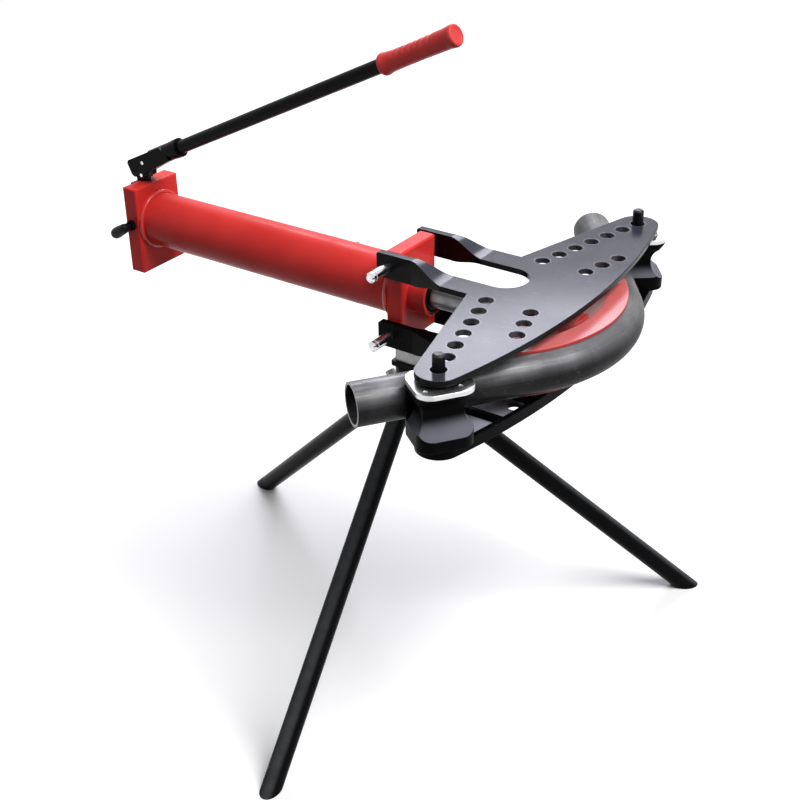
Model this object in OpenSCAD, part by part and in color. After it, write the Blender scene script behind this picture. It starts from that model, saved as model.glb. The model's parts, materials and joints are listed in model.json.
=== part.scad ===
// Hydraulic pipe bender on a tripod, with a hand pump, a ram and two perforated wings.
// Lengths are in millimetres. +X is the way the ram pushes, +Z is up.
// The origin lies on the floor, under the middle of the front block.

/* [Stand] */
// Height of the ram axis above the floor
ram_height = 602; // [590:1:640]
// Radius of the circle that the feet stand on
foot_circle = 478; // [440:1:520]
// Direction of the near leg, in degrees from the forward axis
leg_bearing = -82; // [-90:0.5:-70]
// Angle from each leg to the next, in degrees
leg_step = 122; // [114:0.5:126]
// Outer diameter of a leg tube
leg_d = 31; // [27:1:34]
// Wall of a leg tube
leg_wall = 2.5; // [2:0.5:4]
// Width of the square post under the front block
post_w = 38; // [32:1:44]
// Length of that post
post_l = 45; // [36:1:60]

/* [Cylinder] */
// Length of the red tube between its two blocks
tube_l = 502; // [450:1:560]
// Outer diameter of the red tube
tube_d = 90; // [84:1:92]
// Wall of the red tube
tube_wall = 5; // [4:0.5:6]
// Bore of the pressure cylinder inside it
bore_d = 50; // [47:0.5:52]
// Diameter of the ram
ram_d = 38; // [34:0.5:39]
// Thickness of the front block, along the ram
block_t = 28; // [24:1:34]
// Width of the front block
block_w = 93; // [90:1:100]
// Height of the front block
block_h = 150; // [146:1:164]
// Thickness of the pump block, along the ram
pump_t = 30; // [28:1:36]
// Width of the pump block
pump_w = 102; // [98:1:112]
// Top of the pump block above the ram axis
pump_top = 66; // [60:1:72]
// Underside of the pump block below the ram axis
pump_low = 85; // [76:1:92]

/* [Wings] */
// Outer face of each wing, above or below the ram axis
wing_rise = 58; // [56:0.5:62]
// Thickness of the upper wing
plate_t = 9; // [7:0.5:11]
// Thickness of the lower wing at its rim
rim_t = 18; // [14:1:20]
// Spacing of the holes in a row
hole_pitch = 35; // [33:0.5:37]
// Diameter of the holes
hole_d = 21; // [20:0.5:23]
// Holes in the long row, before the support
long_row = 6; // [5:1:6]
// Holes in the short row
short_row = 3; // [2:1:3]
// Sweep of the rows towards the tips, in degrees
row_sweep = 15; // [12:0.5:17]
// Radius of a wing tip
tip_r = 32; // [28:0.5:34]
// Front edge of the wings, ahead of the front block's middle
wing_front = 303; // [296:1:312]
// Diameter of the two pins that carry the wings
wing_pin_d = 16; // [14:0.5:18]

/* [Bend] */
// Outer diameter of the pipe
pipe_d = 60.3; // [57:0.1:61]
// Wall of the pipe
pipe_wall = 3.9; // [2.9:0.1:4.5]
// Radius of the bend at the pipe's axis
bend_r = 208; // [200:1:214]
// Half of the bend, in degrees
bend_half = 36.5; // [34:0.5:39]
// Straight leg of the pipe on the near side
near_straight = 262; // [230:1:300]
// Straight leg of the pipe on the far side
far_straight = 278; // [230:1:300]
// Reach of the former's arc to each side, in degrees
former_half = 52; // [48:1:56]
// Travel of the ram back from the drawn bend
ram_back = 100; // [60:1:105]

/* [Lever] */
// Tilt of the lever as drawn, in degrees
lever_tilt = 25.7; // [20:0.1:30]
// Length of the lever from its fulcrum to its end
lever_l = 702; // [640:1:760]
// Outer diameter of the lever tube
lever_d = 22; // [20:0.5:24]
// Length of the red grip
grip_l = 137; // [120:1:160]
// Largest diameter of the red grip
grip_d = 31; // [28:0.5:34]
// Plunger pin's distance from the fulcrum
plunger_arm = 16; // [15:0.5:17]
// Lift of the lever from the drawn place, in degrees
lever_up = 40; // [30:1:45]
// Drop of the lever from the drawn place, in degrees
lever_down = 18; // [12:1:18]
// Diameter of the pump plunger
plunger_d = 10; // [8:0.5:11]

/* [Hidden] */
$fn = 64;

// Overrun of every cut
cut = 1;
// Radial clearance of a running fit
run_gap = 0.05;
// Gap between pieces that move past each other
clear = 0.3;

// Paint and metal colours
paint_red = [0.78, 0.13, 0.13];
paint_black = [0.05, 0.05, 0.06];
wing_grey = [0.42, 0.42, 0.47];
bright_steel = [0.80, 0.80, 0.82];
dull_steel = [0.45, 0.45, 0.47];
bare_pipe = [0.40, 0.40, 0.42];
rubber = [0.10, 0.10, 0.10];
brass = [0.72, 0.58, 0.28];

// Chamfer on the edges of the two blocks
block_edge = 2.5;

// Stations along the ram axis
block_front = block_t / 2;
block_rear = -block_t / 2;
pump_front = block_rear - tube_l;
pump_rear = pump_front - pump_t;
pump_mid = pump_front - pump_t / 2;

// Gland in the front block
boss_l = 30;
boss_wall = 10;
bush_wall = 4;
bush_d = ram_d + 2 * bush_wall;
boss_d = bush_d + 2 * boss_wall;
boss_front = block_front + boss_l;
wiper_t = 6;
wiper_lip = 3;
wiper_d = bush_d + 2 * bush_wall;

// Pressure cylinder, piston and spring
cylinder_wall = 6;
cylinder_d = bore_d + 2 * cylinder_wall;
piston_l = 40;
end_gap = 8;
piston_rear = pump_front + end_gap + ram_back;
piston_front = piston_rear + piston_l;
seal_w = 6;
seal_deep = 4;
seal_back = 12;
bolt_d = 10;
bolt_head_d = 16;
bolt_head_l = 6;
bolt_deep = 22;
spring_wire = 4;
spring_turns = 22;
spring_d = (bore_d + ram_d) / 2;
spring_sides = 6;
spring_steps = 10;

// Welds where the red tube meets its blocks
weld = 5;

// Filler plug on the red tube
plug_ahead = 110;
plug_turn = 55;
plug_d = 14;
plug_stem = 9;
plug_head = 4;
plug_socket = 6;

// Places of the holes and of the support pins
row_x = 180;
row_y = 79.6;
short_x = 251;
function row_at(x, k, side) = [
    x + k * hole_pitch * sin(row_sweep),
    side * (row_y + k * hole_pitch * cos(row_sweep))
];
function pin_at(side) = row_at(row_x, long_row, side);
pin_x = pin_at(1)[0];
pin_y = pin_at(1)[1];

// The front edge is one arc that runs into both tips
tip_lag = pin_x - wing_front;
front_r = (tip_r * tip_r - tip_lag * tip_lag - pin_y * pin_y) / (2 * (tip_lag + tip_r));
front_mid = wing_front - front_r;
tip_angle = atan2(pin_y, pin_x - front_mid);

// Arms that reach back from the wings to the front block
arm_t = 12;
arm_in = block_w / 2 + clear;
arm_out = arm_in + arm_t;
arm_tail = 7;
arm_end = block_rear - arm_tail;
arm_tall = 18;
arm_deep = 21;
root_y = 76;
slot_w = 70;
slot_end = 199;
slot_mid = slot_end - slot_w / 2;
flare_start = 40;
flare_end = 100;
ramp_start = 40;
ramp_end = 102;
ramp_steps = 12;
pin_rise = 56;

// Pockets of the lower wing
rim_w = 8;
web_t = 8;
hole_boss_d = hole_d + 2 * rim_w;
rib_w = 8;
rib_shares = [1.5 / long_row, 3.5 / long_row];

// Pins that carry the wings
pin_out = 47;
pin_nose = 3;
pin_groove_at = 5;
pin_groove_w = 3;

// Bend, former and supports
pipe_r = pipe_d / 2;
groove_r = pipe_r + clear;
pipe_draw = 0.15;
pipe_lap = 2;
groove_wall = 19.2;
pin_reach = groove_wall + groove_r;
former_x = pin_x - (pin_reach + bend_r - pin_y * sin(bend_half)) / cos(bend_half);
lip_over = 5;
lip_rise = 4;
lip_r = bend_r + lip_over;
lip_z = groove_r + lip_rise;
band_w = 30;
band_in = lip_r - band_w;
slope_w = 34;
web_r = band_in - slope_w;
former_web = 24;
hub_d = 62;
hub_behind = 27;
socket_l = 45;
hub_rear = former_x + hub_behind;
ram_end = hub_rear + socket_l;
rib_t = 14;

// Supports between the wings
gap_low = -wing_rise + rim_t;
gap_high = wing_rise - plate_t;
cap_t = 7;
cap_gap = 4;
cap_z = gap_high - cap_gap - cap_t;
cap_half = 40;
cap_front = 42;
cap_back = 33;
cap_corner = 22;
body_inset = 1;
body_half = cap_half - body_inset;
body_front = cap_front - body_inset;
body_back = 36;
body_corner = cap_corner - body_inset;
waist_front = 19;
waist_half = 28;
waist_r = 30;
waist_z = 6;
waist_back = 14;
cap_screw_d = 6;
cap_screw_deep = 6;
cap_screw_sunk = 1;
cap_screw_shares = [-0.7, 0.5];
cap_screw_ahead = 27;
shank_d = hole_d - 2 * run_gap;
stub_d = hole_d - 4;
stub_rise = 23;
stub_nose = 2.5;

// Lever linkage
fulcrum_back = 3;
fulcrum_rise = 15;
fulcrum_x = pump_rear - fulcrum_back;
fulcrum_z = pump_top + fulcrum_rise;
arm_rest = -(lever_up - lever_down) / 2;
arm_most = (lever_up + lever_down) / 2;
plunger_x = fulcrum_x + plunger_arm * (1 + cos(arm_most)) / 2;
plunger_z = fulcrum_z + plunger_arm * sin(arm_rest);
slot_play = plunger_arm * (1 - cos(arm_most)) / 2;
lever_off = 8.5;
fulcrum_pin_d = 8;
small_pin_d = 6;
cheek_out = 15;
tongue_half = 6;
cheek_in = tongue_half + clear;
tongue_r = 7;
lobe_r = 9;
toe_r = 6.5;
head_top = lever_off + 13;
head_back = 9;
head_front = 88;
head_nose = 12;
head_low = -5;
head_edge = 4;
roof_z = 8;
roof_x = 26;
barrel_d = lever_d + 8;
barrel_start = 40;
barrel_end = 112;
collar_d = barrel_d + 1.5;
collar_l = 12;
socket_deep = 44;
tube_start = barrel_end - socket_deep;
lever_wall = 3;
fork_pin_at = 27;
grip_lip = 1.5;
grip_lip_l = 8;
grip_end_t = 5;
grip_dish_d = 20;
grip_dish = 1.5;
grip_waist_share = 0.86;
grip_taper_share = 0.25;
grip_grooves = 6;
grip_groove_r = 7;
grip_groove_deep = 1.2;
grip_start = lever_l - grip_l;

// Plunger and its gland
eye_play = 0.5;
eye_wall = 2.6;
eye_half_x = small_pin_d / 2 + slot_play + eye_play + eye_wall;
eye_half_z = small_pin_d / 2 + eye_play + eye_wall;
eye_half_y = tongue_half - 1;
plunger_l = 68;
gland_d = plunger_d + 10;
gland_t = 12;
plunger_seal_t = 4;
plunger_seal_wall = 2;
well_l = 80;

// Bracket on the back of the pump block
bracket_t = 8;
bracket_w = 44;
bracket_h = 40;
bracket_drop = 3;
screw_d = 8;
screw_head_d = 13;
screw_head_l = 8;
screw_socket = 6;
screw_deep = 14;
screw_side = 14;
plug_side = 26;
plug_low = 40;

// Release valve on the near side
release_z = 2;
spindle_d = 8;
spindle_in = 36;
release_nut_d = 18;
release_nut_t = 7;
spindle_out = 22;
knob_t = 16;
knob_hub_d = 18;
knob_reach = 24;
knob_lobe_d = 20;
knob_gap = 4;
knob_droop = 32;

// Tripod head and legs
leg_bearings = [leg_bearing, leg_bearing + leg_step, leg_bearing + 2 * leg_step];
plate_rise = 23;
head_plate_t = 9;
head_plate_w = post_w + 10;
head_plate_top = ram_height - block_h / 2 - post_l;
leg_apex = head_plate_top - head_plate_t - plate_rise;
leg_slope = atan2(leg_apex, foot_circle);
hub_r = 26;
hub_drop = 52;
leg_in = 34;
sleeve_wall = 4;
sleeve_l = 38;
sleeve_floor = 6;
leg_screw_d = 8;
leg_screw_head = 16;
leg_screw_out = 14;
foot_rim = 6;
foot_stem = 26;
foot_lead = 3;
foot_at = leg_apex / sin(leg_slope);
leg_end = foot_at - leg_d / 2 / tan(leg_slope) - foot_rim;
post_y = post_w + 2;
post_edge = 4;

// Helpers

module at_ram() {
    translate([0, 0, ram_height]) children();
}

// A cylinder along X from one station to another
module bar(x0, x1, d) {
    translate([x0, 0, 0]) rotate([0, 90, 0]) cylinder(d = d, h = x1 - x0);
}

// A cylinder along Y from one place to another
module cross_bar(y0, y1, d) {
    translate([0, y0, 0]) rotate([-90, 0, 0]) cylinder(d = d, h = y1 - y0);
}

// An outline in X and Z, extruded along Y to both sides
module slab(half) {
    rotate([90, 0, 0]) linear_extrude(height = 2 * half, center = true) children();
}

function bevelled(a, b, e) = [
    [-a, -b + e], [-a + e, -b], [a - e, -b], [a, -b + e],
    [a, b - e], [a - e, b], [-a + e, b], [-a, b - e]
];

// A box about its own middle with every edge chamfered
module bevelled_box(size, e) {
    intersection() {
        linear_extrude(height = size[2], center = true) polygon(bevelled(size[0] / 2, size[1] / 2, e));
        rotate([90, 0, 0])
            linear_extrude(height = size[1], center = true) polygon(bevelled(size[0] / 2, size[2] / 2, e));
        rotate([90, 0, 90])
            linear_extrude(height = size[0], center = true) polygon(bevelled(size[1] / 2, size[2] / 2, e));
    }
}

// A rectangle from corner to corner with round corners
module round_rect(x0, x1, half_y, r) {
    translate([x0 + r, -half_y]) square([x1 - x0 - 2 * r, 2 * half_y]);
    translate([x0, -half_y + r]) square([x1 - x0, 2 * half_y - 2 * r]);
    for (x = [x0 + r, x1 - r], y = [-half_y + r, half_y - r]) translate([x, y]) circle(r = r);
}

// A ring along X
module ring(x0, x1, outer, inner) {
    difference() {
        bar(x0, x1, outer);
        bar(x0 - cut, x1 + cut, inner);
    }
}

// A headed socket screw along +X with its head's underside at zero
module socket_screw(d, head_d, head_l, socket, deep) {
    difference() {
        union() {
            bar(-head_l, 0, head_d);
            bar(0, deep, d);
        }
        translate([-head_l - cut, 0, 0]) rotate([0, 90, 0])
            cylinder(d = socket, h = head_l / 2 + cut, $fn = 6);
    }
}

// Blocks and cylinder

module front_block() {
    color(paint_red) at_ram() difference() {
        union() {
            bevelled_box([block_t, block_w, block_h], block_edge);
            bar(0, boss_front, boss_d);
        }
        bar(block_rear - cut, boss_front + cut, bush_d);
        bar(boss_front - wiper_t, boss_front + cut, wiper_d);
        for (side = [-1, 1])
            translate([0, 0, side * pin_rise])
                cross_bar(-block_w / 2 - cut, block_w / 2 + cut, wing_pin_d + 2 * run_gap);
    }
}

// The filler plug's place along the tube, turned to the far side of its top
module at_plug() {
    translate([block_rear - plug_ahead, 0, 0]) rotate([-plug_turn, 0, 0]) children();
}

module reservoir_tube() {
    inner = tube_d - 2 * tube_wall;
    color(paint_red) at_ram() difference() {
        union() {
            bar(pump_front, block_rear, tube_d);
            translate([pump_front, 0, 0]) rotate([0, 90, 0])
                cylinder(d1 = tube_d + 2 * weld, d2 = tube_d, h = weld);
        }
        bar(pump_front - cut, block_rear + cut, inner);
        at_plug() translate([0, 0, inner / 2 - cut]) cylinder(d = plug_stem, h = tube_wall + 2 * cut);
    }
}

module pressure_cylinder() {
    color(dull_steel) at_ram() ring(pump_front, block_rear, cylinder_d, bore_d);
}

module gland_bush() {
    color(brass) at_ram()
        ring(block_rear, boss_front - wiper_t, bush_d - 2 * run_gap, ram_d + 2 * run_gap);
}

module wiper_ring() {
    color(rubber) at_ram() {
        ring(boss_front - wiper_t, boss_front, wiper_d - 2 * run_gap, ram_d + 2 * run_gap);
        difference() {
            translate([boss_front, 0, 0]) rotate([0, 90, 0])
                cylinder(d1 = bush_d, d2 = ram_d + wiper_lip, h = wiper_lip);
            bar(boss_front - cut, boss_front + wiper_lip + cut, ram_d + 2 * run_gap);
        }
    }
}

module filler_plug() {
    color(dull_steel) at_ram() at_plug() translate([0, 0, tube_d / 2]) difference() {
        union() {
            cylinder(d = plug_d, h = plug_head);
            translate([0, 0, -tube_wall])
                cylinder(d = plug_stem - 2 * run_gap, h = tube_wall + plug_head / 2);
        }
        translate([0, 0, plug_head / 2]) cylinder(d = plug_socket, h = plug_head, $fn = 6);
    }
}

module pump_block() {
    mid_z = (pump_top - pump_low) / 2;
    color(paint_red) at_ram() difference() {
        translate([pump_mid, 0, mid_z])
            bevelled_box([pump_t, pump_w, pump_top + pump_low], block_edge);
        translate([plunger_x, 0, pump_top - well_l]) cylinder(d = plunger_d + 2 * run_gap, h = well_l + cut);
        translate([plunger_x, 0, pump_top - gland_t - plunger_seal_t])
            cylinder(d = gland_d, h = gland_t + plunger_seal_t + cut);
        translate([pump_mid, 0, release_z])
            cross_bar(-pump_w / 2 - cut, -pump_w / 2 + spindle_in, spindle_d + 2 * run_gap);
        for (side = [-1, 1]) {
            translate([pump_rear - cut, side * screw_side, pump_top - bracket_drop - bracket_h / 2])
                bar(0, screw_deep - bracket_t + 2 * cut, screw_d);
            translate([pump_rear - cut, side * plug_side, -plug_low])
                bar(0, screw_deep + cut, screw_d);
        }
    }
}

module plunger_gland() {
    color(brass) at_ram() translate([plunger_x, 0, pump_top - gland_t]) difference() {
        cylinder(d = gland_d - 2 * run_gap, h = gland_t - clear);
        translate([0, 0, -cut]) cylinder(d = plunger_d + 2 * run_gap, h = gland_t + 2 * cut);
    }
}

module plunger_seal() {
    color(rubber) at_ram() translate([plunger_x, 0, pump_top - gland_t - plunger_seal_t]) difference() {
        cylinder(d = gland_d - 2 * run_gap, h = plunger_seal_t);
        translate([0, 0, -cut]) cylinder(d = plunger_d + 2 * run_gap, h = plunger_seal_t + 2 * cut);
    }
}

module fulcrum_bracket() {
    top = pump_top - bracket_drop;
    color(paint_black) at_ram() difference() {
        union() {
            translate([pump_rear - bracket_t, -bracket_w / 2, top - bracket_h])
                cube([bracket_t, bracket_w, bracket_h]);
            slab(tongue_half) polygon([
                [pump_rear - bracket_t, top - bracket_h / 2], [pump_rear, top - bracket_h / 2],
                [pump_rear, pump_top], [fulcrum_x + tongue_r, fulcrum_z], [fulcrum_x - tongue_r, fulcrum_z]
            ]);
            translate([fulcrum_x, 0, fulcrum_z]) cross_bar(-tongue_half, tongue_half, 2 * tongue_r);
        }
        translate([fulcrum_x, 0, fulcrum_z])
            cross_bar(-tongue_half - cut, tongue_half + cut, fulcrum_pin_d + 2 * run_gap);
        for (side = [-1, 1])
            translate([pump_rear - bracket_t - cut, side * screw_side, top - bracket_h / 2])
                bar(0, bracket_t + 2 * cut, screw_d + clear);
    }
}

module bracket_screws() {
    color(dull_steel) at_ram() for (side = [-1, 1])
        translate([pump_rear - bracket_t, side * screw_side, pump_top - bracket_drop - bracket_h / 2])
            socket_screw(screw_d - 2 * run_gap, screw_head_d, screw_head_l, screw_socket, screw_deep - cut);
}

module valve_plugs() {
    color(dull_steel) at_ram() for (side = [-1, 1])
        translate([pump_rear, side * plug_side, -plug_low])
            socket_screw(screw_d - 2 * run_gap, plug_d, plug_head, plug_socket, screw_deep - cut);
}

// Release valve

module at_release() {
    at_ram() translate([pump_mid, -pump_w / 2, release_z]) children();
}

module release_gland() {
    color(dull_steel) at_release() difference() {
        rotate([90, 0, 0]) cylinder(d = release_nut_d, h = release_nut_t, $fn = 6);
        cross_bar(-release_nut_t - cut, cut, spindle_d + 2 * run_gap);
    }
}

module release_spindle() {
    color(dull_steel) at_release()
        cross_bar(-release_nut_t - knob_gap - knob_t + cut, spindle_in - cut, spindle_d);
}

// A short wing knob whose lobe points back
module release_knob() {
    y1 = -release_nut_t - knob_gap;
    color(paint_black) at_release() rotate([0, -knob_droop, 0]) difference() {
        hull() {
            cross_bar(y1 - knob_t, y1, knob_hub_d, $fn = 32);
            translate([-knob_reach, y1 - knob_t / 2, 0]) sphere(d = knob_lobe_d, $fn = 32);
        }
        cross_bar(y1 - knob_t + cut, y1 + cut, spindle_d);
    }
}

// Lever and pump

module lever_frame() {
    at_ram() translate([fulcrum_x, 0, fulcrum_z]) rotate([0, -lever_tilt, 0]) children();
}

// Place of the plunger pin in the lever's own frame
toe_x = plunger_arm * cos(arm_rest - lever_tilt);
toe_z = plunger_arm * sin(arm_rest - lever_tilt);

module fulcrum_pin() {
    color(bright_steel) lever_frame() cross_bar(-cheek_out, cheek_out, fulcrum_pin_d);
}

module plunger_pin() {
    color(bright_steel) lever_frame() translate([toe_x, 0, toe_z])
        cross_bar(-cheek_out - cut, cheek_out + cut, small_pin_d);
}

module fork_pin() {
    color(bright_steel) lever_frame() translate([fork_pin_at, 0, lever_off])
        cross_bar(-cheek_out - cut, cheek_out + cut, small_pin_d);
}

module lever_head() {
    color(paint_black) lever_frame() difference() {
        union() {
            slab(cheek_out) polygon([
                [-head_back, 0], [-head_back, head_top - head_edge], [-head_back + head_edge, head_top],
                [head_front - head_nose, head_top], [head_front, head_top - head_nose],
                [head_front, head_low],
                [toe_x + toe_r, toe_z], [toe_x - toe_r, toe_z]
            ]);
            cross_bar(-cheek_out, cheek_out, 2 * lobe_r);
            translate([toe_x, 0, toe_z]) cross_bar(-cheek_out, cheek_out, 2 * toe_r);
            translate([0, 0, lever_off]) {
                bar(barrel_start, barrel_end, barrel_d);
                bar(barrel_end - collar_l, barrel_end, collar_d);
            }
        }
        translate([-head_back - cut, -cheek_in, toe_z - toe_r - cut])
            cube([roof_x + head_back + cut, 2 * cheek_in, roof_z - toe_z + toe_r + cut]);
        cross_bar(-cheek_out - cut, cheek_out + cut, fulcrum_pin_d + 2 * run_gap);
        translate([toe_x, 0, toe_z]) cross_bar(-cheek_out - cut, cheek_out + cut, small_pin_d + 2 * run_gap);
        translate([fork_pin_at, 0, lever_off])
            cross_bar(-cheek_out - cut, cheek_out + cut, small_pin_d + 2 * run_gap);
        translate([0, 0, lever_off]) bar(tube_start, barrel_end + cut, lever_d + 2 * run_gap);
    }
}

module lever_tube() {
    color(paint_black) lever_frame() translate([0, 0, lever_off])
        ring(tube_start, lever_l - grip_end_t, lever_d, lever_d - 2 * lever_wall);
}

module lever_grip() {
    waist = grip_d * grip_waist_share;
    color(paint_red) lever_frame() translate([grip_start, 0, lever_off]) difference() {
        rotate([0, 90, 0]) rotate_extrude() polygon([
            [0, 0], [grip_d / 2 + grip_lip - clear, 0], [grip_d / 2 + grip_lip, clear],
            [grip_d / 2 + grip_lip, grip_lip_l / 2], [waist / 2, grip_lip_l],
            [waist / 2, grip_l * grip_taper_share],
            [grip_d / 2, grip_l - grip_lip_l], [grip_d / 2, grip_l - grip_lip],
            [grip_d / 2 - grip_lip, grip_l], [0, grip_l]
        ]);
        bar(-cut, grip_l - grip_end_t, lever_d + 2 * run_gap);
        bar(grip_l - grip_dish, grip_l + cut, grip_dish_d);
        for (k = [1 : grip_grooves])
            translate([grip_l * k / (grip_grooves + 2), 0,
                       (waist + (grip_d - waist) * k / (grip_grooves + 2)) / 2
                           + grip_groove_r - grip_groove_deep])
                cross_bar(-grip_d, grip_d, 2 * grip_groove_r);
    }
}

module pump_plunger() {
    color(bright_steel) at_ram() translate([plunger_x, 0, plunger_z]) difference() {
        union() {
            translate([-eye_half_x, -eye_half_y, -eye_half_z])
                cube([2 * eye_half_x, 2 * eye_half_y, eye_half_z]);
            slab(eye_half_y) {
                for (side = [-1, 1])
                    translate([side * (eye_half_x - eye_half_z), 0]) circle(r = eye_half_z);
                translate([-eye_half_x + eye_half_z, -eye_half_z])
                    square([2 * (eye_half_x - eye_half_z), 2 * eye_half_z]);
            }
            translate([0, 0, -plunger_l]) cylinder(d = plunger_d, h = plunger_l - eye_half_z + eye_wall);
        }
        for (side = [-1, 1])
            translate([side * slot_play, 0, 0])
                cross_bar(-eye_half_y - cut, eye_half_y + cut, small_pin_d + 2 * eye_play);
        translate([-slot_play, -eye_half_y - cut, -small_pin_d / 2 - eye_play])
            cube([2 * slot_play, 2 * eye_half_y + 2 * cut, small_pin_d + 2 * eye_play]);
    }
}

// Ram

module ram() {
    color(bright_steel) at_ram() difference() {
        bar(piston_front, ram_end, ram_d);
        bar(piston_front - cut, piston_front + bolt_deep, bolt_d);
    }
}

module piston() {
    groove_x = piston_rear + seal_back;
    color(dull_steel) at_ram() difference() {
        bar(piston_rear, piston_front, bore_d - 2 * run_gap);
        ring(groove_x, groove_x + seal_w, bore_d + cut, bore_d - 2 * seal_deep);
        bar(piston_rear - cut, piston_rear + bolt_head_l, bolt_head_d + clear);
        bar(piston_rear, piston_front + cut, bolt_d + 2 * run_gap);
    }
}

module piston_seal() {
    groove_x = piston_rear + seal_back;
    color(rubber) at_ram()
        ring(groove_x + run_gap, groove_x + seal_w - run_gap,
             bore_d - run_gap, bore_d - 2 * seal_deep + run_gap);
}

module piston_bolt() {
    color(dull_steel) at_ram() translate([piston_rear + bolt_head_l, 0, 0])
        socket_screw(bolt_d - 2 * run_gap, bolt_head_d, bolt_head_l, plug_socket,
                     piston_l - bolt_head_l + bolt_deep - cut);
}

// The spring is one tube along a helix between the piston and the front block
spring_low = piston_front + spring_wire / 2 + clear;
spring_high = block_rear - spring_wire / 2 - clear;
spring_rings = spring_turns * spring_steps;
spring_pitch = (spring_high - spring_low) / spring_turns;
echo(spring_gap = spring_pitch - spring_wire);

function spring_point(i, j) =
    let (a = 360 * i / spring_steps, b = 360 * j / spring_sides,
         r = spring_d / 2 + spring_wire / 2 * cos(b))
    [spring_low + (spring_high - spring_low) * i / spring_rings + spring_wire / 2 * sin(b),
     r * cos(a), r * sin(a)];

function ring_corner(i, j) = i * spring_sides + j % spring_sides;

module return_spring() {
    points = [for (i = [0 : spring_rings], j = [0 : spring_sides - 1]) spring_point(i, j)];
    skin = [for (i = [0 : spring_rings - 1], j = [0 : spring_sides - 1], half = [0, 1])
        half == 0
            ? [ring_corner(i, j), ring_corner(i, j + 1), ring_corner(i + 1, j + 1)]
            : [ring_corner(i, j), ring_corner(i + 1, j + 1), ring_corner(i + 1, j)]];
    first = [for (j = [1 : spring_sides - 2]) [0, j + 1, j]];
    last_ring = spring_rings * spring_sides;
    last = [for (j = [1 : spring_sides - 2]) [last_ring, last_ring + j, last_ring + j + 1]];
    color(dull_steel) at_ram() polyhedron(points = points, faces = concat(skin, first, last));
}

// Former and pipe

module at_bend() {
    at_ram() translate([former_x, 0, 0]) children();
}

module former_section() {
    polygon([
        [web_r, -former_web / 2], [band_in, -lip_z], [lip_r, -lip_z],
        [lip_r, lip_z], [band_in, lip_z], [web_r, former_web / 2]
    ]);
}

module bending_former() {
    end_x = web_r * cos(former_half);
    end_y = web_r * sin(former_half);
    inside = web_r + (band_in - web_r) / 2;
    color(paint_red) at_bend() difference() {
        union() {
            rotate([0, 0, -former_half]) rotate_extrude(angle = 2 * former_half) former_section();
            intersection() {
                translate([0, 0, -former_web / 2]) cylinder(r = inside, h = former_web);
                linear_extrude(height = 2 * former_web, center = true) polygon([
                    [hub_behind, -hub_d / 2], [end_x, -end_y], [lip_r, -lip_r],
                    [lip_r, lip_r], [end_x, end_y], [hub_behind, hub_d / 2]
                ]);
            }
            bar(hub_behind, web_r + slope_w / 2, hub_d);
        }
        rotate_extrude() translate([bend_r, 0]) circle(r = groove_r);
        bar(hub_behind - cut, hub_behind + socket_l + clear, ram_d + 2 * run_gap);
    }
}

// The pipe's ring section, with both faces of its wall drawn in by an amount
module pipe_section(drawn) {
    difference() {
        circle(r = pipe_r - drawn);
        circle(r = pipe_r - pipe_wall + drawn);
    }
}

// A straight leg, with a short lap into the bend
module pipe_leg(length) {
    translate([bend_r, pipe_lap, 0]) rotate([90, 0, 0])
        linear_extrude(height = length + pipe_lap) pipe_section(0);
}

// The wall draws a little thinner along the bend, as a bent pipe's does
module bent_pipe() {
    color(bare_pipe) at_bend() {
        rotate([0, 0, -bend_half]) rotate_extrude(angle = 2 * bend_half)
            translate([bend_r, 0]) pipe_section(pipe_draw);
        rotate([0, 0, -bend_half]) pipe_leg(near_straight);
        mirror([0, 1, 0]) rotate([0, 0, -bend_half]) pipe_leg(far_straight);
    }
}

// Wings

function rear_touch(inset, side) =
    pin_at(side) + (tip_r - inset) * [-cos(row_sweep), side * sin(row_sweep)];

function front_touch(inset, side) =
    pin_at(side) + (tip_r - inset) * [cos(tip_angle), side * sin(tip_angle)];

function rear_root(inset, side) =
    let (touch = rear_touch(inset, 1), back = (touch[1] - root_y + inset) / cos(row_sweep))
    [touch[0] - back * sin(row_sweep), side * (root_y - inset)];

// The swept half-moon of a wing, drawn in from its edge by an inset
module wing_moon(inset) {
    intersection() {
        translate([front_mid, 0]) circle(r = front_r - inset, $fn = 360);
        union() {
            polygon([
                rear_root(inset, -1), rear_touch(inset, -1), front_touch(inset, -1),
                [wing_front, front_touch(inset, -1)[1]], [wing_front, front_touch(inset, 1)[1]],
                front_touch(inset, 1), rear_touch(inset, 1), rear_root(inset, 1)
            ]);
            for (side = [-1, 1]) translate(pin_at(side)) circle(r = tip_r - inset);
        }
    }
}

// The far arm in plan, from the wing's root back past the front block
module wing_arm() {
    root_x = rear_root(0, 1)[0] + tip_r;
    polygon([
        [arm_end, arm_in], [flare_start, arm_in], [flare_end, slot_w / 2], [root_x, slot_w / 2],
        [root_x, root_y], [flare_end, root_y], [flare_start, arm_out], [arm_end, arm_out]
    ]);
}

// A wing in plan, as a tall prism about the ram axis
module wing_prism() {
    tall = 4 * wing_rise;
    difference() {
        linear_extrude(height = tall, center = true) wing_moon(0);
        linear_extrude(height = tall + cut, center = true) {
            translate([slot_mid, 0]) circle(d = slot_w);
            translate([flare_end, -slot_w / 2]) square([slot_mid - flare_end, slot_w]);
        }
    }
    for (side = [0, 1]) mirror([0, side, 0]) linear_extrude(height = tall, center = true) wing_arm();
}

// Height of the arm's edge where it sweeps down to the plate
function sweep_to(from, to, share) = from + (to - from) * (1 - cos(180 * share)) / 2;

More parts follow.
